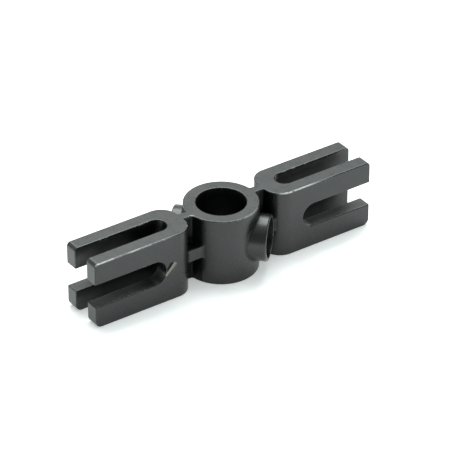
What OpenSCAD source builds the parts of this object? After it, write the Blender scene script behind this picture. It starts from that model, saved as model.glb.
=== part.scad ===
// Double-fork shaft coupling.
// A round hub with a through bore carries two set-screw bosses and two opposed arms.
// Each arm is a block slotted both upright and across, which leaves four prongs at its tip.
// The bore axis is Z, the arms lie along X, and the underside is on the plane Z = 0.

/* [Hub] */
// Outer diameter of the hub
hub_d = 12; // [12:0.1:12.6]
// Diameter of the shaft bore
bore_d = 8; // [7.8:0.05:8]
// Height of the hub and of both forks
body_h = 11.6; // [11:0.1:13]

/* [Set-screw bosses] */
// Outer diameter of a boss
boss_d = 7.5; // [7:0.1:8.4]
// Distance from the bore axis to the end face of a boss
boss_reach = 7.8; // [7.8:0.1:8.6]
// Rounding of the boss's outer edge
boss_edge_r = 0.3; // [0.1:0.1:0.4]
// Diameter of the recess in a boss's end
recess_d = 6.2; // [5:0.1:6.6]
// Depth of that recess
recess_depth = 1.3; // [0.8:0.1:1.3]
// Angle between the arms and the boss axis
boss_angle = 46; // [40:1:60]

/* [Forks] */
// Length of the coupling over both fork tips
span = 52; // [44:1:64]
// Width of a fork across its two sides
fork_w = 8; // [7.2:0.1:9]
// Distance from the bore axis to the inner end of a fork
fork_start = 7.6; // [7.4:0.1:8.4]
// Corner radius of a fork's inner end, seen from above
fork_corner_r = 3; // [1.5:0.1:3.2]
// Rounding of the tip's top edge
tip_top_r = 0.7; // [0.4:0.1:1.2]
// Rounding of the tip's bottom edge
tip_bottom_r = 1.1; // [0.4:0.1:1.4]

/* [Slots] */
// Width of the upright slot, which runs through from top to bottom
upright_slot_w = 3.2; // [2:0.1:3.4]
// Distance from the bore axis to the inner end of the upright slot
upright_slot_start = 10.5; // [10:0.1:13]
// Height of the cross slot, which runs through from side to side
cross_slot_h = 4.1; // [3:0.1:5]
// Distance from the bore axis to the inner end of the cross slot
cross_slot_start = 13; // [12:0.1:15]
// Rounding of the slot mouths' lips
lip_r = 0.3; // [0.1:0.1:0.5]

/* [Necks] */
// Thickness of the upright web that joins a fork to the hub
web_t = 1.5; // [1:0.1:1.6]
// Width of the flat rib that crosses the web
rib_w = 5.8; // [4:0.1:6]
// Thickness of the rib
rib_t = 2.1; // [1.2:0.1:3]
// Radius of the fillets at both ends of the web
web_fillet_r = 0.4; // [0.2:0.1:0.5]

/* [Set screws] */
// Thread diameter of a set screw
screw_d = 3; // [3:0.05:3.1]
// Length of a set screw
screw_l = 2; // [1.8:0.1:2.1]
// Width of the hexagon socket across its flats
socket_af = 1.5; // [1.3:0.1:1.5]
// Depth of the hexagon socket
socket_depth = 1.2; // [0.8:0.1:1.3]
// Outer diameter of a threaded insert
insert_d = 4.2; // [4:0.1:4.6]
// Length of a threaded insert
insert_l = 1.95; // [1.7:0.05:1.95]
// Diameter of the slug that a set screw presses on the shaft
slug_d = 2.4; // [2:0.1:2.4]
// Length of a slug
slug_l = 0.9; // [0.8:0.05:0.95]
// How far a slug sits behind the bore wall when it is released
slug_setback = 0.15; // [0.1:0.05:0.2]
// Furthest a screw goes in from there, on to a shaft with a flat
screw_in = 0.5; // [0.4:0.05:0.6]
// Radial clearance of every moving fit
fit_gap = 0.05; // [0.03:0.01:0.08]

/* [Hidden] */

$fn = 96;
eps = 0.5;             // overshoot of cutting solids
body_colour = "#565a5c";
brass_colour = "#b08d4a";
steel_colour = "#3c3d40";

mid_h = body_h / 2;
tip_x = span / 2;

// Stations along a boss axis, measured from the bore axis
slug_start = bore_d / 2 + slug_setback;
screw_start = slug_start + slug_l;
insert_start = screw_start - screw_in;

groove_w = 0.4;        // width of the insert's retaining groove
groove_depth = 0.25;
screw_chamfer = 0.3;   // bevel at both ends of a set screw

// ---------- shared outlines and placements ----------

// Places a child drawn along +Z on the boss axis; side 1 is the front boss, -1 the rear one
module on_boss_axis(side) {
    translate([0, 0, mid_h])
        rotate([0, 0, side > 0 ? -boss_angle : 180 - boss_angle])
            rotate([0, 90, 0])
                children();
}

// A slot from its round inner end at x = start out past the tip, centred on y = 0
module slot_outline(start, w) {
    translate([start + w / 2, 0])
        circle(d = w);
    translate([start + w / 2, -w / 2])
        square([tip_x + eps - start - w / 2, w]);
}

// What rounding a slot mouth's two lips takes away
module lip_cuts(w) {
    for (s = [1, -1])
        scale([1, s])
            translate([tip_x - lip_r, w / 2])
                difference() {
                    translate([0, -eps])
                        square([lip_r + eps, lip_r + eps]);
                    translate([0, lip_r])
                        circle(r = lip_r);
                }
}

// The spandrel that fills a square inside corner at the origin, opening to +x and +y
module fillet_outline(r, back) {
    difference() {
        translate([-back, -back])
            square([r + back, r + back]);
        translate([r, r])
            circle(r = r);
    }
}

// ---------- fork ----------

// A fork seen from above
module fork_plan() {
    inner_r = fork_corner_r;
    half_w = fork_w / 2;
    difference() {
        union() {
            translate([fork_start + inner_r, -half_w])
                square([tip_x - fork_start - inner_r, fork_w]);
            translate([fork_start, -half_w + inner_r])
                square([inner_r + eps, fork_w - 2 * inner_r]);
            for (s = [1, -1])
                translate([fork_start + inner_r, s * (half_w - inner_r)])
                    circle(r = inner_r);
        }
        slot_outline(upright_slot_start, upright_slot_w);
        lip_cuts(upright_slot_w);
    }
}

// A fork seen from the side, with its tip rounded and the cross slot cut; y is up
module fork_side() {
    difference() {
        union() {
            translate([0, mid_h])
                square([tip_x - tip_top_r, mid_h]);
            square([tip_x - tip_bottom_r, mid_h]);
            translate([0, tip_bottom_r])
                square([tip_x, body_h - tip_top_r - tip_bottom_r]);
            translate([tip_x - tip_top_r, body_h - tip_top_r])
                circle(r = tip_top_r);
            translate([tip_x - tip_bottom_r, tip_bottom_r])
                circle(r = tip_bottom_r);
        }
        translate([0, mid_h]) {
            slot_outline(cross_slot_start, cross_slot_h);
            lip_cuts(cross_slot_h);
        }
    }
}

// The web seen from above, with its fillets against the fork and the hub
module web_plan() {
    half_t = web_t / 2;
    hub_x = sqrt(pow(hub_d / 2, 2) - pow(half_t + web_fillet_r, 2));
    translate([0, -half_t])
        square([fork_start + eps, web_t]);
    for (s = [1, -1])
        scale([1, s]) {
            translate([hub_x, half_t])
                fillet_outline(web_fillet_r, half_t);
            translate([fork_start, half_t])
                scale([-1, 1])
                    fillet_outline(web_fillet_r, half_t);
        }
}

// The cross-shaped neck, running in past the hub's surface
module neck() {
    linear_extrude(height = body_h)
        web_plan();
    translate([0, -rib_w / 2, mid_h - rib_t / 2])
        cube([fork_start + fork_corner_r, rib_w, rib_t]);
}

// A whole arm along +X, shaped to the hub and the bosses where it meets them
module fork() {
    color(body_colour)
        difference() {
            union() {
                intersection() {
                    linear_extrude(height = body_h)
                        fork_plan();
                    translate([0, fork_w / 2 + eps, 0])
                        rotate([90, 0, 0])
                            linear_extrude(height = fork_w + 2 * eps)
                                fork_side();
                }
                neck();
            }
            translate([0, 0, -eps])
                cylinder(d = hub_d, h = body_h + 2 * eps);
            for (side = [1, -1])
                on_boss_axis(side)
                    boss_blank();
        }
}

module right_fork() {
    fork();
}

module left_fork() {
    rotate([0, 0, 180])
        fork();
}

// ---------- hub ----------

// A solid boss from the bore axis to its end face, with its outer edge rounded
module boss_blank() {
    boss_r = boss_d / 2;
    rotate_extrude() {
        square([boss_r - boss_edge_r, boss_reach]);
        square([boss_r, boss_reach - boss_edge_r]);
        translate([boss_r - boss_edge_r, boss_reach - boss_edge_r])
            circle(r = boss_edge_r);
    }
}

// The stepped hole in a boss: a slug's running bore, then the insert's seat, then the end recess
module boss_hole() {
    cylinder(d = slug_d + 2 * fit_gap, h = insert_start + eps);
    translate([0, 0, insert_start])
        cylinder(d = insert_d, h = boss_reach - insert_start + eps);
    translate([0, 0, boss_reach - recess_depth])
        cylinder(d = recess_d, h = recess_depth + eps);
}

module hub() {
    color(body_colour)
        difference() {
            union() {
                cylinder(d = hub_d, h = body_h);
                for (side = [1, -1])
                    on_boss_axis(side)
                        boss_blank();
            }
            translate([0, 0, -eps])
                cylinder(d = bore_d, h = body_h + 2 * eps);
            for (side = [1, -1])
                on_boss_axis(side)
                    boss_hole();
        }
}

// ---------- set-screw hardware ----------

// Brass sleeve pressed into a boss, with a retaining groove round its middle
module insert(side) {
    color(brass_colour)
        on_boss_axis(side)
            translate([0, 0, insert_start])
                difference() {
                    cylinder(d = insert_d, h = insert_l);
                    translate([0, 0, -eps])
                        cylinder(d = screw_d + 2 * fit_gap, h = insert_l + 2 * eps);
                    translate([0, 0, (insert_l - groove_w) / 2])
                        difference() {
                            cylinder(d = insert_d + 2 * eps, h = groove_w);
                            cylinder(d = insert_d - 2 * groove_depth, h = groove_w);
                        }
                }
}

// Headless screw with both ends bevelled and a hexagon socket in its outer end
module set_screw(side) {
    point_r = screw_d / 2 - screw_chamfer;
    color(steel_colour)
        on_boss_axis(side)
            translate([0, 0, screw_start])
                difference() {
                    rotate_extrude()
                        polygon([
                            [0, 0], [point_r, 0], [screw_d / 2, screw_chamfer],
                            [screw_d / 2, screw_l - screw_chamfer], [point_r, screw_l], [0, screw_l]
                        ]);
                    translate([0, 0, screw_l - socket_depth])
                        cylinder(r = socket_af / sqrt(3), h = socket_depth + eps, $fn = 6);
                }
}

// Plain brass slug that slides between the screw and the shaft
module slug(side) {
    color(brass_colour)
        on_boss_axis(side)
            translate([0, 0, slug_start])
                cylinder(d = slug_d, h = slug_l);
}

module front_insert() { insert(1); }
module rear_insert() { insert(-1); }
module front_set_screw() { set_screw(1); }
module rear_set_screw() { set_screw(-1); }
module front_slug() { slug(1); }
module rear_slug() { slug(-1); }

hub();
left_fork();
right_fork();
front_insert();
rear_insert();
front_set_screw();
rear_set_screw();
front_slug();
rear_slug();
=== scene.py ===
"""Double-fork shaft coupling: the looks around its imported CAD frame.

The moulding is one continuous surface with rounded edges and filleted corners. It is described as
a distance field, whose zero level becomes the mesh. The hardware is turned and threaded.
"""

import math

import bmesh
import bpy
import numpy as np
from mathutils import Matrix, Vector


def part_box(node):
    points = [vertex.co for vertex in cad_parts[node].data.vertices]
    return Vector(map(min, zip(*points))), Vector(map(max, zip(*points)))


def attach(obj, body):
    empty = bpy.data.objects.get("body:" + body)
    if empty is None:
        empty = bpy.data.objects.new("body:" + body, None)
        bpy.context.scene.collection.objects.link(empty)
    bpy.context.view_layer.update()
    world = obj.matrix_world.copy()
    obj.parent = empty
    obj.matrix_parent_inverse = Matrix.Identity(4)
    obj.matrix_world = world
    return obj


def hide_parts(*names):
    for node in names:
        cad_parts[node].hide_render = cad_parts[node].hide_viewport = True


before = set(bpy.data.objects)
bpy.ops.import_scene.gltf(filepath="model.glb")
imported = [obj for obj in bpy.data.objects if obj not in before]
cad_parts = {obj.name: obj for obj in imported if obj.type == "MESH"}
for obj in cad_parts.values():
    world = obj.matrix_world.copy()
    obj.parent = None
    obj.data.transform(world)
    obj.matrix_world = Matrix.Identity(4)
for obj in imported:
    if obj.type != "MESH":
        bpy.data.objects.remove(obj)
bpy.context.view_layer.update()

MM = 0.001

# ---------- places and sizes, in millimetres ----------

HUB_BOX, RIGHT_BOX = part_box("hub"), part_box("right_fork")
HEIGHT = HUB_BOX[1][2] / MM
MID = HEIGHT / 2
TIP = RIGHT_BOX[1][0] / MM
FORK_HALF = RIGHT_BOX[1][1] / MM
FORK_START = 7.6
FORK_CORNER = 3.0
TIP_TOP, TIP_BOTTOM = 0.7, 1.1
HUB_R, BORE_R = 6.0, 4.0
BOSS_R, BOSS_REACH, BOSS_EDGE = 3.75, 7.8, 0.3
BOSS_ANGLE = math.radians(46)
BOSS_DIRECTION = np.array([math.cos(BOSS_ANGLE), -math.sin(BOSS_ANGLE), 0.0])
RECESS_R, RECESS_START = 3.1, 6.5
SEAT_R, SEAT_START = 2.1, 4.55
SLUG_BORE_R = 1.25
UPRIGHT_HALF, UPRIGHT_START = 1.6, 10.5
CROSS_HALF, CROSS_START = 2.05, 13.0
WEB_HALF = 0.75
RIB_HALF_W, RIB_HALF_T = 2.9, 1.05
EDGE_R = 0.16
FILLET_R = 0.35

INSERT_LENGTH, GROOVE_HALF, GROOVE_DEPTH = 1.95, 0.2, 0.25
SCREW_START, SCREW_LENGTH, SCREW_R, SCREW_BEVEL = 5.05, 2.0, 1.5, 0.3
PITCH, THREAD_DEPTH = 0.5, 0.27
SOCKET_AF, SOCKET_DEPTH = 1.5, 1.2
SLUG_START, SLUG_LENGTH, SLUG_R = 4.15, 0.9, 1.2


# ---------- distance fields ----------


def join(a, b, r):
    """Union of two fields with a round fillet of radius r between them."""
    u, v = np.maximum(r - a, 0), np.maximum(r - b, 0)
    return np.maximum(r, np.minimum(a, b)) - np.hypot(u, v)


def meet(a, b, r):
    """Intersection of two fields with an edge rounded to radius r."""
    u, v = np.maximum(r + a, 0), np.maximum(r + b, 0)
    return np.minimum(-r, np.maximum(a, b)) + np.hypot(u, v)


def cut(a, b, r):
    """Field a with field b taken away and the rim rounded to radius r."""
    return meet(a, -b, r)


def rectangle(u, v, half_u, half_v, corner=0.0):
    """A rectangle centred on the origin, its corners rounded."""
    du, dv = np.abs(u) - half_u + corner, np.abs(v) - half_v + corner
    outside = np.hypot(np.maximum(du, 0), np.maximum(dv, 0))
    return outside + np.minimum(np.maximum(du, dv), 0) - corner


def slot(u, v, start, half):
    """A slot from its round inner end at u = start out past the tip."""
    far = TIP + 5
    middle = (start + far) / 2
    return rectangle(u - middle, v, far - middle, half, half)


def side_profile(x, z):
    """The whole part from the side: a flat bar whose tips have unlike top and bottom corners."""
    corner = np.where(z > MID, TIP_TOP, TIP_BOTTOM)
    return rectangle(x, z - MID, TIP, MID, corner)


def plan_profile(x, y):
    """Hub, web and fork from above, with fillets where they meet."""
    far = TIP + 5
    middle = (FORK_START + far) / 2
    fork = rectangle(x - middle, y, far - middle, FORK_HALF, FORK_CORNER)
    web = rectangle(x, y, FORK_START + FORK_CORNER / 2, WEB_HALF)
    hub = np.hypot(x, y) - HUB_R
    return join(join(hub, web, FILLET_R), fork, FILLET_R)


# Marks on the front of the left fork: two ends in x and z, radius, how far the axis stands off the face
GOUGE = [(-13.0, 4.9), (-11.4, 6.4), 0.26, 0.08]
DENT = [(-12.9, 5.75), (-12.05, 6.5), 0.42, 0.2]


def outline(p):
    """The moulding before its slots, bore and boss holes are cut."""
    x, y, z = np.abs(p[:, 0]), p[:, 1], p[:, 2]
    return meet(plan_profile(x, y), side_profile(x, z), EDGE_R)


def moulding(p):
    """Distance from points p, in millimetres, to the surface of the moulding."""
    x, y, level = np.abs(p[:, 0]), p[:, 1], p[:, 2] - MID
    body = outline(p)
    body = cut(body, slot(x, y, UPRIGHT_START, UPRIGHT_HALF), EDGE_R)
    body = cut(body, slot(x, level, CROSS_START, CROSS_HALF), EDGE_R)
    rib_reach = FORK_START + FORK_CORNER / 2
    rib = np.maximum(rectangle(y, level, RIB_HALF_W, RIB_HALF_T, 0.1), x - rib_reach)
    body = join(body, rib, FILLET_R * 0.7)

    along = np.abs(p[:, 0] * BOSS_DIRECTION[0] + y * BOSS_DIRECTION[1])
    across = p[:, 0] * BOSS_DIRECTION[1] - y * BOSS_DIRECTION[0]
    around = np.hypot(across, level)
    boss = rectangle(around, along, BOSS_R, BOSS_REACH, BOSS_EDGE)
    body = join(body, boss, FILLET_R * 0.7)
    seat = np.maximum(around - SEAT_R, SEAT_START - along)
    body = cut(body, seat, 0.06)
    recess = np.maximum(around - RECESS_R, RECESS_START - along)
    body = cut(body, recess, EDGE_R * 0.7)
    body = cut(body, around - SLUG_BORE_R, 0.05)
    body = cut(body, np.hypot(x, y) - BORE_R, EDGE_R)
    return cut(body, join(mark(p, GOUGE), mark(p, DENT), 0.12), 0.06)


def mark(p, shape):
    """A short groove dug into the front of the left fork, beside the end of the cross slot."""
    (x0, z0), (x1, z1), radius, stand_off = shape
    start = np.array([x0, -FORK_HALF - stand_off, z0])
    run = np.array([x1 - x0, 0.0, z1 - z0])
    t = np.clip((p - start) @ run / (run @ run), 0, 1)
    return np.linalg.norm(p - start - t[:, None] * run, axis=1) - radius * (0.55 + 0.45 * t)


# ---------- from a distance field to a mesh ----------


def gradient(field, p, step=0.02):
    """Central differences of a field at points p."""
    g = np.empty_like(p)
    for axis in range(3):
        d = np.zeros(3)
        d[axis] = step
        g[:, axis] = (field(p + d) - field(p - d)) / (2 * step)
    return g


def settle(field, p, rounds=4):
    """Moves points on to the field's zero level."""
    for _ in range(rounds):
        g = gradient(field, p)
        p = p - (field(p) / np.maximum((g * g).sum(1), 0.25))[:, None] * g
    return p


def sample(field, low, high, step):
    """Field values on a regular grid, one slab at a time."""
    axes = [np.arange(a, b + step, step) for a, b in zip(low, high)]
    values = np.empty([len(a) for a in axes])
    yy, zz = np.meshgrid(axes[1], axes[2], indexing="ij")
    for i, x in enumerate(axes[0]):
        points = np.column_stack([np.full(yy.size, x), yy.ravel(), zz.ravel()])
        values[i] = field(points).reshape(yy.shape)
    return values


def surface_net(field, low, high, step):
    """Vertices and quads of a field's zero level, one vertex to each grid cell that it crosses."""
    inside = sample(field, low, high, step) < 0
    corners = np.zeros(np.array(inside.shape) - 1, dtype=np.int8)
    shape = corners.shape
    for i in (0, 1):
        for j in (0, 1):
            for k in (0, 1):
                corners += inside[i:i + shape[0], j:j + shape[1], k:k + shape[2]]
    crossed = (corners > 0) & (corners < 8)
    index = np.full(shape, -1, dtype=np.int64)
    index[crossed] = np.arange(crossed.sum())
    vertices = np.array(low) + (np.argwhere(crossed) + 0.5) * step

    quads = []
    for axis in range(3):
        a, b = np.moveaxis(inside, axis, 0)[:-1], np.moveaxis(inside, axis, 0)[1:]
        cells = np.moveaxis(index, axis, 0)
        change = (a != b)[:, 1:-1, 1:-1]
        rises = a[:, 1:-1, 1:-1][change]
        i, j, k = np.nonzero(change)
        near, far = (cells[i, j, k], cells[i, j + 1, k]), (cells[i, j + 1, k + 1], cells[i, j, k + 1])
        ring = np.column_stack([*near, *far])
        flip = rises if axis != 1 else ~rises
        ring[~flip] = ring[~flip][:, ::-1]
        quads.append(ring)
    return vertices, np.concatenate(quads)


def mesh_object(name, vertices, faces):
    """A new mesh object from vertices in millimetres."""
    mesh = bpy.data.meshes.new(name)
    mesh.from_pydata((np.asarray(vertices) * MM).tolist(), [], [list(map(int, f)) for f in faces])
    mesh.validate()
    mesh.update()
    piece = bpy.data.objects.new(name, mesh)
    bpy.context.scene.collection.objects.link(piece)
    return piece


def applied(piece, kind, **settings):
    """The piece with one modifier added and applied."""
    modifier = piece.modifiers.new(kind.lower(), kind)
    for key, value in settings.items():
        setattr(modifier, key, value)
    graph = bpy.context.evaluated_depsgraph_get()
    mesh = bpy.data.meshes.new_from_object(piece.evaluated_get(graph))
    piece.modifiers.clear()
    piece.data = mesh
    return piece


def without_slivers(piece, gap=0.012):
    """The piece with points nearer than gap millimetres merged and the slivers between them gone."""
    work = bmesh.new()
    work.from_mesh(piece.data)
    bmesh.ops.remove_doubles(work, verts=work.verts, dist=gap * MM)
    bmesh.ops.dissolve_degenerate(work, edges=work.edges, dist=gap * MM / 4)
    pinched = [edge for edge in work.edges if len(edge.link_faces) != 2]
    bmesh.ops.collapse(work, edges=pinched)
    bmesh.ops.dissolve_degenerate(work, edges=work.edges, dist=gap * MM / 4)
    bmesh.ops.triangulate(work, faces=work.faces)
    work.to_mesh(piece.data)
    work.free()
    return piece


def array_of(items, name, width, kind=float):
    """One property of all of a mesh's vertices, edges or faces, a row to each."""
    flat = np.empty(len(items) * width, dtype=kind)
    items.foreach_get(name, flat)
    return flat.reshape(-1, width)


def unfolded(piece, field, rounds=8):
    """The piece with the few faces that fold back over their neighbours evened out."""
    mesh = piece.data
    ends = array_of(mesh.edges, "vertices", 2, np.int32)
    corners = array_of(mesh.polygons, "vertices", 3, np.int32)
    degree = np.bincount(ends.ravel(), minlength=len(mesh.vertices))[:, None]
    for _ in range(rounds):
        p = points_of(mesh)
        sides = p[corners]
        normals = np.cross(sides[:, 1] - sides[:, 0], sides[:, 2] - sides[:, 0])
        outwards = gradient(field, sides.mean(1))
        folded = (normals * outwards).sum(1) < 0.2 * np.linalg.norm(normals, axis=1)
        moving = np.unique(corners[folded])
        total = np.zeros_like(p)
        np.add.at(total, ends[:, 0], p[ends[:, 1]])
        np.add.at(total, ends[:, 1], p[ends[:, 0]])
        even = (total / np.maximum(degree, 1))[moving]
        p[moving] = settle(field, even, rounds=1)
        mesh.vertices.foreach_set("co", (p * MM).ravel())
        mesh.update()
    return piece


def points_of(mesh):
    """Vertex places of a mesh, in millimetres."""
    return array_of(mesh.vertices, "co", 3) / MM


def curvature(field, p, step=0.16):
    """How sharply the surface bends outwards at points p, in 1/mm."""
    total = -6 * field(p)
    for axis in range(3):
        d = np.zeros(3)
        d[axis] = step
        total += field(p + d) + field(p - d)
    return total / (step * step)


def fade(value, start, end):
    """0 where value is at start and 1 where it is at end, held beyond them."""
    return np.clip((value - start) / (end - start), 0, 1)


def shade_and_shelter(p):
    """How hidden from rubbing and polish each point is, and how much shade is painted on it: slots,
    holes and the gaps by the necks.
    """
    x, y, z = np.abs(p[:, 0]), np.abs(p[:, 1]), p[:, 2]
    inside = fade(-outline(p), 0.25, 1.05)
    by_tip = fade(x, TIP, TIP - 5)
    inside = inside * np.maximum(by_tip, 0.15)
    rib_face, gap_end = RIB_HALF_W - 0.1, FORK_START + 0.8
    beside_neck = fade(y, rib_face, rib_face - 0.33) * fade(x, gap_end, gap_end - 0.67)
    beside_neck *= fade(x, 4.8, 5.3) * fade(z, HEIGHT - 0.15, HEIGHT - 0.275)
    return np.maximum(inside, beside_neck)


def edge_wear_and_highlight(p):
    """Where the edges are painted pale: wear from hands plus painted highlights along the forks' front
    top edges, a painted highlight spot where the left web meets the hub, and a fainter painted
    highlight line along the hub's front top rim.
    """
    x, y, z = p.T
    top = fade(z, HEIGHT - 0.4, HEIGHT - 0.2)
    front = fade(-y, FORK_HALF - 1.0, FORK_HALF - 0.6)
    left = fade(-x, 11, 14) * (0.45 + 0.55 * fade(-x, 17, 20))
    right = fade(x, FORK_START + 0.6, FORK_START + 1.2) * fade(x, 19, 13)
    by_left_web = fade(np.hypot(x + HUB_R + 0.1, y + 0.9), 0.7, 0.2)
    hub_rim = 0.35 * fade(-y, 4.4, 5.4) * (np.abs(x) < HUB_R)
    return top * np.maximum(front * np.maximum(left, right), np.maximum(by_left_web, hub_rim))


def vertex_attribute(mesh, name, values):
    """Stores one float on each vertex."""
    stored = mesh.attributes.new(name, "FLOAT", "POINT")
    stored.data.foreach_set("value", np.asarray(values, dtype=float))


CELL, QUICK_CELL = 0.12, 0.2  # grid spacing of the surface net, in millimetres
FACES_KEPT = 0.35             # share of its faces that thinning keeps
SHARP = 4.0                   # curvature that counts as a full edge, in 1/mm
MARK_RIM = 0.08               # how far a mark's colour runs past its groove


def build_moulding():
    """The one-piece moulding: hub, bosses, necks and both forks."""
    step = CELL
    margin = 3 * step
    low = [-TIP - margin, -BOSS_REACH - margin, -margin]
    high = [TIP + margin, BOSS_REACH + margin, HEIGHT + margin]
    vertices, quads = surface_net(moulding, low, high, step)
    vertices = settle(moulding, vertices)
    piece = mesh_object("moulded_body", vertices, quads)
    piece = applied(piece, "DECIMATE", ratio=FACES_KEPT)
    p = settle(moulding, points_of(piece.data), rounds=2)
    piece.data.vertices.foreach_set("co", (p * MM).ravel())
    p = points_of(unfolded(without_slivers(piece), moulding).data)
    normals = gradient(moulding, p, step=0.01)
    normals /= np.linalg.norm(normals, axis=1)[:, None]
    piece.data.polygons.foreach_set("use_smooth", [True] * len(piece.data.polygons))
    piece.data.normals_split_custom_set_from_vertices(normals.tolist())
    vertex_attribute(piece.data, "edge", np.clip(curvature(moulding, p) / SHARP, -1, 1))
    # Masks for the painted shade in the hollows and for the edges painted pale as wear and highlights.
    vertex_attribute(piece.data, "shade_and_shelter", shade_and_shelter(p))
    vertex_attribute(piece.data, "edge_wear_and_highlight", edge_wear_and_highlight(p))
    vertex_attribute(piece.data, "scratch", fade(mark(p, GOUGE), MARK_RIM, 0))
    vertex_attribute(piece.data, "dent", fade(mark(p, DENT), MARK_RIM, 0))
    return piece


# ---------- turned and threaded hardware ----------


def polar_mesh(name, side, rings, closed=False):
    """A mesh swept round a boss axis: side 1 is the front boss, -1 the rear one.

    Each ring is (radii, distances from the bore axis, edge values), one entry to each angle.
    A closed mesh joins its last ring to its first; any other is capped at both ends.
    """
    segments = max(np.size(r[0]) for r in rings)
    rings = [[np.broadcast_to(part, segments) for part in ring] for ring in rings]
    turn = np.arange(segments) * 2 * math.pi / segments
    axis = side * BOSS_DIRECTION
    sideways = np.array([-axis[1], axis[0], 0.0])
    upright = np.array([0.0, 0.0, 1.0])
    vertices = []
    for radii, along, _ in rings:
        ring = along[:, None] * axis + (radii * np.cos(turn))[:, None] * sideways
        vertices.append(ring + (MID + radii * np.sin(turn))[:, None] * upright)
    count = len(rings)
    here = np.arange(segments)
    after = np.roll(here, -1)
    faces = []
    for i in range(count if closed else count - 1):
        a, b = i * segments, (i + 1) % count * segments
        faces += np.column_stack([a + here, a + after, b + after, b + here]).tolist()
    if not closed:
        faces.append(here[::-1].tolist())
        faces.append(((count - 1) * segments + here).tolist())
    piece = mesh_object(name, np.concatenate(vertices), faces)
    mesh = piece.data
    mesh.polygons.foreach_set("use_smooth", [True] * len(mesh.polygons))
    mesh.set_sharp_from_angle(angle=math.radians(32))
    vertex_attribute(mesh, "edge", np.concatenate([r[2] for r in rings]))
    vertex_attribute(mesh, "lathe", np.concatenate([r[0] + r[1] for r in rings]))
    return piece


def thread(along, segments):
    """How deep a right-hand thread is cut at each angle: 0 at its crest, 1 at its root."""
    turn = np.arange(segments) / segments
    phase = (along / PITCH - turn) % 1
    rise = np.abs(phase - 0.5) * 2
    return np.clip((0.875 - rise) / 0.625, 0, 1)


def hexagon(across_flats, segments):
    """Radius of a hexagon at each angle."""
    turn = np.arange(segments) * 2 * math.pi / segments
    off = (turn + math.pi / 6) % (math.pi / 3) - math.pi / 6
    return across_flats / 2 / np.cos(off)


def build_screw(name, side):
    """An M3 set screw with both ends bevelled and a hexagon socket in its outer end."""
    segments = 120
    rows = 56
    tip = SCREW_START
    end = tip + SCREW_LENGTH
    root = SCREW_R - THREAD_DEPTH
    rings = [(np.full(segments, 0.25), tip + 0.12, 0.0), (SCREW_R - SCREW_BEVEL - 0.25, tip, 0.6)]
    for along in np.linspace(tip + 0.02, end - 0.02, rows):
        inset = min(along - tip, end - along)
        crest = SCREW_R - 0.01
        radii = crest - THREAD_DEPTH * thread(along, segments)
        bevel = SCREW_R - SCREW_BEVEL - 0.05 + inset
        worn = np.clip((radii - root) / THREAD_DEPTH, 0, 1) ** 3
        rings.append((np.minimum(radii, bevel), along, worn))
    mouth = hexagon(SOCKET_AF + 0.16, segments)
    socket = hexagon(SOCKET_AF, segments)
    floor_at = end - SOCKET_DEPTH
    rings += [(SCREW_R - SCREW_BEVEL - 0.1, end, 0.5), (mouth, end, 0.8), (socket, end - 0.08, 0.6),
              (socket, floor_at, 0.0), (socket * 0.8, floor_at - 0.1, -0.6),
              (np.full(segments, 0.08), floor_at - 0.3, -1.0)]
    return polar_mesh(name, side, rings)


def build_insert(name, side):
    """A brass sleeve: knurled and grooved outside, threaded inside, bevelled at both mouths."""
    segments = 144
    start, end = SEAT_START, SEAT_START + INSERT_LENGTH
    middle = (start + end) / 2
    teeth = segments // 4
    saw = np.abs((np.arange(segments) * teeth / segments) % 1 - 0.5) * 2
    outer = SEAT_R - 0.01
    knurl = outer - 0.07 * saw
    groove = outer - GROOVE_DEPTH
    bore = SCREW_R + 0.05
    rings = [(outer - 0.1, start, 0.5), (knurl, start + 0.1, 0.6), (knurl, middle - GROOVE_HALF, 0.6),
             (groove, middle - GROOVE_HALF, -0.5), (groove, middle + GROOVE_HALF, -0.5),
             (knurl, middle + GROOVE_HALF, 0.6), (knurl, end - 0.12, 0.6), (outer, end - 0.06, 0.6),
             (outer - 0.06, end, 0.6), (bore + 0.2, end, 0.7)]
    for along in np.linspace(end - 0.02, start + 0.02, 44):
        depth = thread(along, segments)
        inset = min(along - start, end - along)
        radii = np.maximum(bore + 0.2 * depth, bore + 0.18 - inset)
        rings.append((radii, along, 0.7 - depth))
    rings.append((bore + 0.2, start, 0.5))
    return polar_mesh(name, side, rings, closed=True)


def build_slug(name, side):
    """A plain brass slug with both edges broken and a faint turned pip on each face."""
    segments = 96
    start, end = SLUG_START, SLUG_START + SLUG_LENGTH
    middle = (start + end) / 2
    rings = [(np.full(segments, 0.06), start + 0.03, 0.2), (0.14, start, 0.4),
             (SLUG_R - 0.09, start, 0.7), (SLUG_R - 0.03, start + 0.03, 1.0),
             (SLUG_R, start + 0.09, 0.7), (SLUG_R, middle, 0.0),
             (SLUG_R, end - 0.09, 0.7), (SLUG_R - 0.03, end - 0.03, 1.0), (SLUG_R - 0.09, end, 0.7),
             (0.14, end, 0.4), (0.06, end - 0.03, 0.2)]
    return polar_mesh(name, side, rings)


# ---------- materials ----------


def add(tree, kind, values=(), **settings):
    """A new node. values maps its inputs to sockets or plain values."""
    made = tree.nodes.new(kind)
    for key, value in settings.items():
        setattr(made, key, value)
    for key, value in dict(values).items():
        if isinstance(value, bpy.types.NodeSocket):
            tree.links.new(value, made.inputs[key])
        else:
            made.inputs[key].default_value = value
    return made


def noise(tree, per_metre, detail=2.0, roughness=0.5):
    """Solid noise in the part's own coordinates."""
    place = add(tree, "ShaderNodeTexCoord").outputs["Object"]
    values = {"Vector": place, "Scale": per_metre, "Detail": detail, "Roughness": roughness}
    return add(tree, "ShaderNodeTexNoise", values).outputs["Fac"]


def ramp(tree, value, start, end, low=0.0, high=1.0):
    """value from start..end, spread over low..high and held at both ends."""
    values = {"Value": value, "From Min": start, "From Max": end, "To Min": low, "To Max": high}
    return add(tree, "ShaderNodeMapRange", values).outputs["Result"]


def maths(tree, operation, a, b):
    """One sum on two values."""
    return add(tree, "ShaderNodeMath", {0: a, 1: b}, operation=operation).outputs[0]


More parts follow.
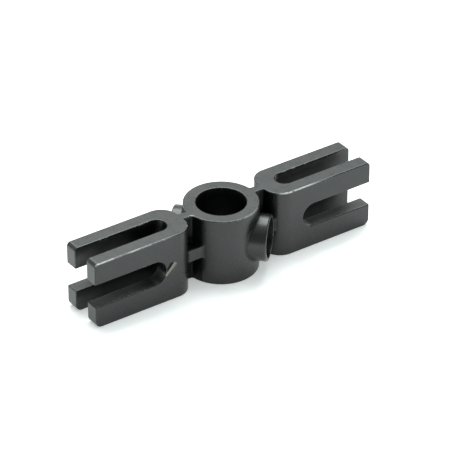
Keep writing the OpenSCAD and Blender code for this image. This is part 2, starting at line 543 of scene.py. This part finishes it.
def mix(tree, share, a, b):
    """Colour a turning into colour b."""
    values = {0: share, 6: a, 7: b}
    return add(tree, "ShaderNodeMix", values, data_type="RGBA").outputs[2]


def vertex_value(tree, name):
    """A float stored on the mesh's vertices."""
    return add(tree, "ShaderNodeAttribute", attribute_name=name).outputs["Fac"]


def new_material(name):
    """An empty procedural material: (material, its tree, its shader)."""
    material = bpy.data.materials.new(name)
    material.use_nodes = True
    tree = material.node_tree
    return material, tree, tree.nodes["Principled BSDF"]


def wire(tree, shader, **sockets):
    """Links node outputs to the shader's sockets, named with underscores."""
    for key, value in sockets.items():
        tree.links.new(value, shader.inputs[key.replace("_", " ")])


def bump(tree, height, depth, normal=None):
    """Bump of the given depth in metres."""
    values = {"Height": height, "Distance": depth, "Strength": 1.0}
    if normal is not None:
        values["Normal"] = normal
    return add(tree, "ShaderNodeBump", values).outputs["Normal"]


BODY_DARK, BODY_LIGHT = (0.0065, 0.0074, 0.0076, 1), (0.0115, 0.0128, 0.0130, 1)
# The pale grey paints edge wear and highlights; the near-black last colour paints shade in the hollows,
# corners and dent.
WEAR_AND_HIGHLIGHT_PALE, SCRAPED, SHADE_PAINT = (0.52, 0.53, 0.53, 1), (0.30, 0.28, 0.24, 1), (0.0022, 0.0026, 0.0026, 1)


def moulding_material():
    """Satin near-black moulding: clouded gloss, painted shade in the slots, hollows, concave corners
    and dent, and edges painted pale as wear and highlights.
    """
    material, tree, shader = new_material("moulding")
    cloud = noise(tree, 260, 3)
    smear = noise(tree, 700, 4, 0.6)
    grain = noise(tree, 7000, 2)
    pits = noise(tree, 1500, 3, 0.7)
    edge, shade_and_shelter_value = vertex_value(tree, "edge"), vertex_value(tree, "shade_and_shelter")
    scratch, dent = vertex_value(tree, "scratch"), vertex_value(tree, "dent")

    broken = ramp(tree, pits, 0.35, 0.48)
    in_patches = ramp(tree, cloud, 0.36, 0.5, 0.25, 1.0)
    # Edges painted pale: wear and highlights along the front top edges and on the hub, plus rare stray
    # wear, all kept to convex edges and mostly out of the hollows.
    placed_wear_and_highlight = maths(tree, "MULTIPLY", vertex_value(tree, "edge_wear_and_highlight"), in_patches)
    rare = ramp(tree, cloud, 0.56, 0.66, 0.0, 0.45)
    stray = maths(tree, "MULTIPLY", rare, ramp(tree, pits, 0.5, 0.6))
    pale_wear_and_highlight = maths(tree, "MAXIMUM", maths(tree, "MULTIPLY", placed_wear_and_highlight, broken), stray)
    pale_wear_and_highlight = maths(tree, "MULTIPLY", pale_wear_and_highlight, ramp(tree, edge, 0.45, 0.95))
    pale_wear_and_highlight = maths(tree, "MULTIPLY", pale_wear_and_highlight, ramp(tree, shade_and_shelter_value, 0.2, 0.6, 1.0, 0.15))
    # Painted shade: concave corners, the slots, holes and neck gaps, and the dent are darkened towards
    # the near-black shade colour and lose specular.
    corner = ramp(tree, edge, -0.15, -0.7)
    painted_shade = maths(tree, "MAXIMUM", shade_and_shelter_value, dent)
    painted_shade = maths(tree, "MAXIMUM", maths(tree, "MULTIPLY", corner, 0.6), painted_shade)
    colour = mix(tree, ramp(tree, cloud, 0.3, 0.7), BODY_DARK, BODY_LIGHT)
    colour = mix(tree, painted_shade, colour, SHADE_PAINT)
    colour = mix(tree, pale_wear_and_highlight, colour, WEAR_AND_HIGHLIGHT_PALE)
    colour = mix(tree, scratch, colour, SCRAPED)

    gloss = ramp(tree, smear, 0.3, 0.7, 0.25, 0.33)
    gloss = maths(tree, "SUBTRACT", gloss, ramp(tree, edge, 0.3, 0.9, 0.0, 0.06))
    gloss = maths(tree, "ADD", gloss, maths(tree, "MULTIPLY", scratch, 0.2))
    gloss = maths(tree, "ADD", gloss, maths(tree, "MULTIPLY", painted_shade, 0.08))
    shine = ramp(tree, painted_shade, 0.0, 1.0, 0.5, 0.15)
    nicks = maths(tree, "MULTIPLY", ramp(tree, edge, 0.3, 0.9), pits)
    normal = bump(tree, grain, 2.5e-7)
    normal = bump(tree, smear, 1.5e-6, normal)
    normal = bump(tree, nicks, 6e-6, normal)
    wire(tree, shader, Base_Color=colour, Roughness=gloss, Specular_IOR_Level=shine, Normal=normal)
    shader.inputs["IOR"].default_value = 1.52
    return material


def metal_material(name, dark, light, worn, roughness, wear_from):
    """Turned metal: fine lathe rings, a clouded tone and brighter edges."""
    material, tree, shader = new_material(name)
    cloud = noise(tree, 900, 3)
    grain = noise(tree, 14000, 2)
    lathe = vertex_value(tree, "lathe")
    rings = add(tree, "ShaderNodeTexNoise", {"W": lathe, "Scale": 28.0, "Detail": 2.0},
                noise_dimensions="1D").outputs["Fac"]
    edge = vertex_value(tree, "edge")
    broken = ramp(tree, grain, 0.35, 0.6, 0.3, 1.0)
    wear = maths(tree, "MULTIPLY", ramp(tree, edge, wear_from, 1.0), broken)
    colour = mix(tree, cloud, dark, light)
    colour = mix(tree, wear, colour, worn)
    gloss = ramp(tree, rings, 0.3, 0.7, roughness - 0.07, roughness + 0.07)
    normal = bump(tree, rings, 4e-6)
    normal = bump(tree, grain, 1e-6, normal)
    wire(tree, shader, Base_Color=colour, Roughness=gloss, Normal=normal)
    shader.inputs["Metallic"].default_value = 1.0
    return material


FLOOR_GLOW = 0.36
LAMP_TINT = (0.945, 1.0, 0.985)


def floor_material():
    """Matt white paper, lit from below so that shadows stay faint, with a fibre and tone."""
    material, tree, shader = new_material("paper")
    tone = noise(tree, 14, 2)
    fibre = noise(tree, 2500, 4, 0.6)
    colour = mix(tree, tone, (0.86, 0.865, 0.87, 1), (0.89, 0.89, 0.89, 1))
    wire(tree, shader, Base_Color=colour, Roughness=ramp(tree, fibre, 0.3, 0.7, 0.75, 0.9),
         Normal=bump(tree, fibre, 4e-6))
    shader.inputs["Emission Color"].default_value = (*LAMP_TINT, 1)
    shader.inputs["Emission Strength"].default_value = FLOOR_GLOW
    return material


# ---------- the object ----------


def place(piece, material, body, slot_name, *nodes):
    """Gives a piece its material and says which CAD body it rides on and which nodes it stands for."""
    piece.data.materials.clear()
    piece.data.materials.append(material)
    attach(piece, body)
    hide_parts(*nodes)


BRASS = ((0.50, 0.34, 0.13, 1), (0.66, 0.47, 0.20, 1), (0.83, 0.66, 0.36, 1))
BLACKENED = ((0.030, 0.031, 0.034, 1), (0.055, 0.056, 0.06, 1), (0.42, 0.42, 0.43, 1))

place(build_moulding(), moulding_material(), "coupling", "moulding", "hub", "left_fork", "right_fork")
insert_brass = metal_material("insert_brass", *BRASS, roughness=0.3, wear_from=0.3)
slug_brass = metal_material("slug_brass", *BRASS, roughness=0.24, wear_from=0.5)
screw_steel = metal_material("screw_steel", *BLACKENED, roughness=0.36, wear_from=0.55)
for word, side in (("front", 1), ("rear", -1)):
    place(build_insert(f"{word}_threaded_insert", side), insert_brass,
          "coupling", "insert_brass", f"{word}_insert")
    place(build_screw(f"{word}_socket_screw", side), screw_steel,
          f"{word}_screw", "screw_steel", f"{word}_set_screw")
    place(build_slug(f"{word}_brass_slug", side), slug_brass,
          f"{word}_slug", "slug_brass", f"{word}_slug")

# ---------- camera, floor and light ----------

VIEW_AZIMUTH, VIEW_ELEVATION = math.radians(-34.83), math.radians(32.8)
VIEW_DISTANCE = 528.75 * MM
LENS = 270.45
AIM = Vector((0, 0, 6.0 * MM))
CAMERA_RIGHT, CAMERA_UP = 0.606 * MM, 1.03 * MM
BACKWARDS = Vector((-math.sin(VIEW_AZIMUTH), math.cos(VIEW_AZIMUTH), 0))
RIGHTWARDS = Vector((math.cos(VIEW_AZIMUTH), math.sin(VIEW_AZIMUTH), 0))


def camera():
    """Looks down on the front left from the photo's angle."""
    data = bpy.data.cameras.new("camera")
    data.lens = LENS
    data.clip_start = 0.01
    holder = bpy.data.objects.new("camera", data)
    away = Vector((0, 0, math.sin(VIEW_ELEVATION))) - BACKWARDS * math.cos(VIEW_ELEVATION)
    up = away.cross(RIGHTWARDS)
    turn = Matrix((RIGHTWARDS, up, away)).transposed()
    place_at = AIM + away * VIEW_DISTANCE + RIGHTWARDS * CAMERA_RIGHT + up * CAMERA_UP
    holder.matrix_world = Matrix.Translation(place_at) @ turn.to_4x4()
    bpy.context.scene.collection.objects.link(holder)
    bpy.context.scene.camera = holder


def floor():
    """A wide white paper floor."""
    half = 1.5
    corners = [(-half, -half, 0), (half, -half, 0), (half, half, 0), (-half, half, 0)]
    mesh = bpy.data.meshes.new("floor")
    mesh.from_pydata(corners, [], [(0, 1, 2, 3)])
    ground = bpy.data.objects.new("floor", mesh)
    bpy.context.scene.collection.objects.link(ground)
    ground.data.materials.append(floor_material())


def soft_box(name, back, right, elevation, distance, size, radiance):
    """A square soft box facing the part. back and right say where it stands as the camera sees it."""
    flat = (BACKWARDS * back + RIGHTWARDS * right).normalized()
    rise = math.radians(elevation)
    way = flat * math.cos(rise) + Vector((0, 0, math.sin(rise)))
    data = bpy.data.lights.new(name, "AREA")
    data.shape = "SQUARE"
    data.size = size
    data.energy = radiance * math.pi * size * size
    data.color = LAMP_TINT
    holder = bpy.data.objects.new(name, data)
    holder.location = way * distance
    holder.rotation_euler = way.to_track_quat("Z", "Y").to_euler()
    bpy.context.scene.collection.objects.link(holder)


def surroundings(front, behind):
    """A studio that is dim on the camera's side and white behind the part."""
    world = bpy.data.worlds.new("studio")
    bpy.context.scene.world = world
    world.use_nodes = True
    tree = world.node_tree
    way = add(tree, "ShaderNodeTexCoord").outputs["Generated"]
    bright_side = BACKWARDS * 0.8 + Vector((0, 0, 0.6))
    depth = add(tree, "ShaderNodeVectorMath", {0: way, 1: bright_side}, operation="DOT_PRODUCT")
    strength = ramp(tree, depth.outputs["Value"], -0.1, 0.6, front, behind)
    background = tree.nodes["Background"]
    background.inputs["Color"].default_value = (*LAMP_TINT, 1)
    tree.links.new(strength, background.inputs["Strength"])


camera()
floor()
soft_box("overhead_back", back=1, right=0, elevation=62.5, distance=0.55, size=0.42, radiance=6.0)
surroundings(front=0.32, behind=1.1)
bpy.context.scene.view_settings.view_transform = "Standard"
